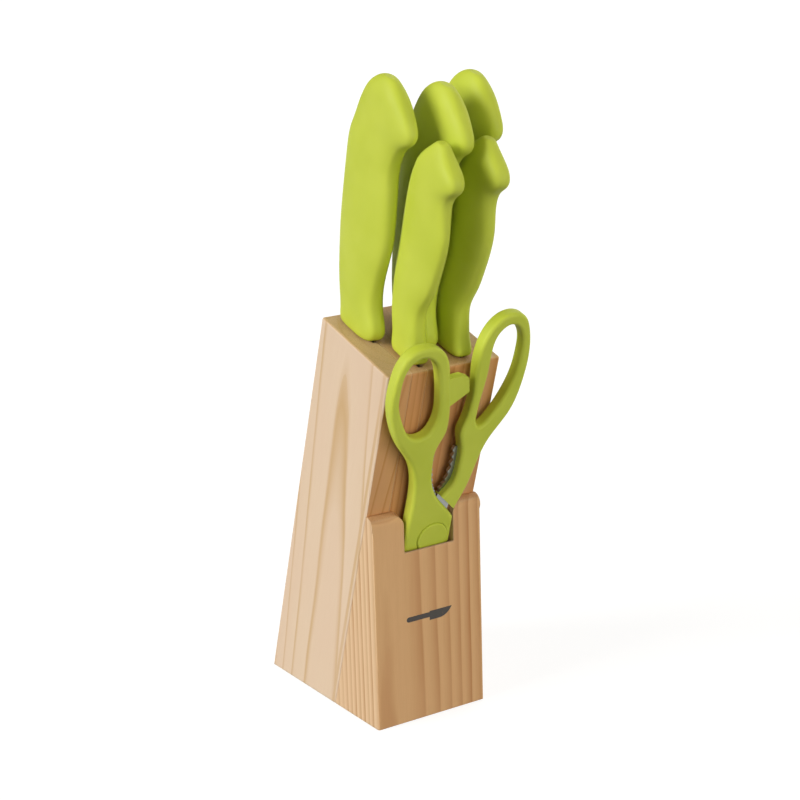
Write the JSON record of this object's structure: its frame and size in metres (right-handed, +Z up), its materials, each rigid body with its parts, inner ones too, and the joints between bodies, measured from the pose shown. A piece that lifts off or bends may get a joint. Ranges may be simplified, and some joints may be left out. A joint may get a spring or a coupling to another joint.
{
  "type": "knife block with knives and scissors",
  "caption": "Leaning laminated pine knife block with soft-grip green kitchen knives in top slots and a pair of kitchen scissors in a front pocket",
  "frame": {"origin": "middle of the block's flat base, on the surface that it stands on", "axes": "+Z up, the sloping front with the scissors faces -Y, +X to the right as seen from the front; the body leans 18 degrees toward -Y"},
  "size_m": [0.0842, 0.1703, 0.3531],
  "materials": {
    "pine_boards": "satin oiled pine",
    "pine_wedge": "satin oiled pine",
    "green_plastic": "soft matte moulded plastic",
    "blade_steel": "fine brushed",
    "scissor_steel": "fine brushed"
  },
  "bodies": {
    "block": {"cheek_left": "pine_boards", "board_2": "pine_boards", "board_3": "pine_boards", "board_4": "pine_boards", "board_5": "pine_boards", "cheek_right": "pine_boards", "front_wedge": "pine_wedge"},
    "carving_knife": {"carving_blade": "blade_steel", "carving_handle": "green_plastic"},
    "chef_knife": {"chef_blade": "blade_steel", "chef_handle": "green_plastic"},
    "bread_knife": {"bread_blade": "blade_steel", "bread_handle": "green_plastic"},
    "utility_knife": {"utility_blade": "blade_steel", "utility_handle": "green_plastic"},
    "paring_knife": {"paring_blade": "blade_steel", "paring_handle": "green_plastic"},
    "scissors_front": {"scissors_front_blade": "scissor_steel", "scissors_front_handle": "green_plastic", "scissors_rivet": "scissor_steel", "scissors_cap": "green_plastic"},
    "scissors_back": {"scissors_back_blade": "scissor_steel", "scissors_back_handle": "green_plastic"}
  },
  "joints": [
    {"name": "carving_pull", "type": "slide", "parent": "block", "child": "carving_knife", "axis": [0, -0.309, 0.9511], "range_m": [0, 0.205]},
    {"name": "chef_pull", "type": "slide", "parent": "block", "child": "chef_knife", "axis": [0, -0.309, 0.9511], "range_m": [0, 0.205]},
    {"name": "bread_pull", "type": "slide", "parent": "block", "child": "bread_knife", "axis": [0, -0.309, 0.9511], "range_m": [0, 0.205]},
    {"name": "utility_pull", "type": "slide", "parent": "block", "child": "utility_knife", "axis": [0, -0.309, 0.9511], "range_m": [0, 0.13]},
    {"name": "paring_pull", "type": "slide", "parent": "block", "child": "paring_knife", "axis": [0, -0.309, 0.9511], "range_m": [0, 0.095]},
    {"name": "scissors_pull", "type": "slide", "parent": "block", "child": "scissors_front", "axis": [0, -0.309, 0.9511], "range_m": [0, 0.12]},
    {"name": "scissors_pivot", "type": "hinge", "parent": "scissors_front", "child": "scissors_back", "pos_m": [0.0032, -0.05258, 0.10373], "axis": [0, 0.9511, 0.309], "range_deg": [0, 3]}
  ]
}
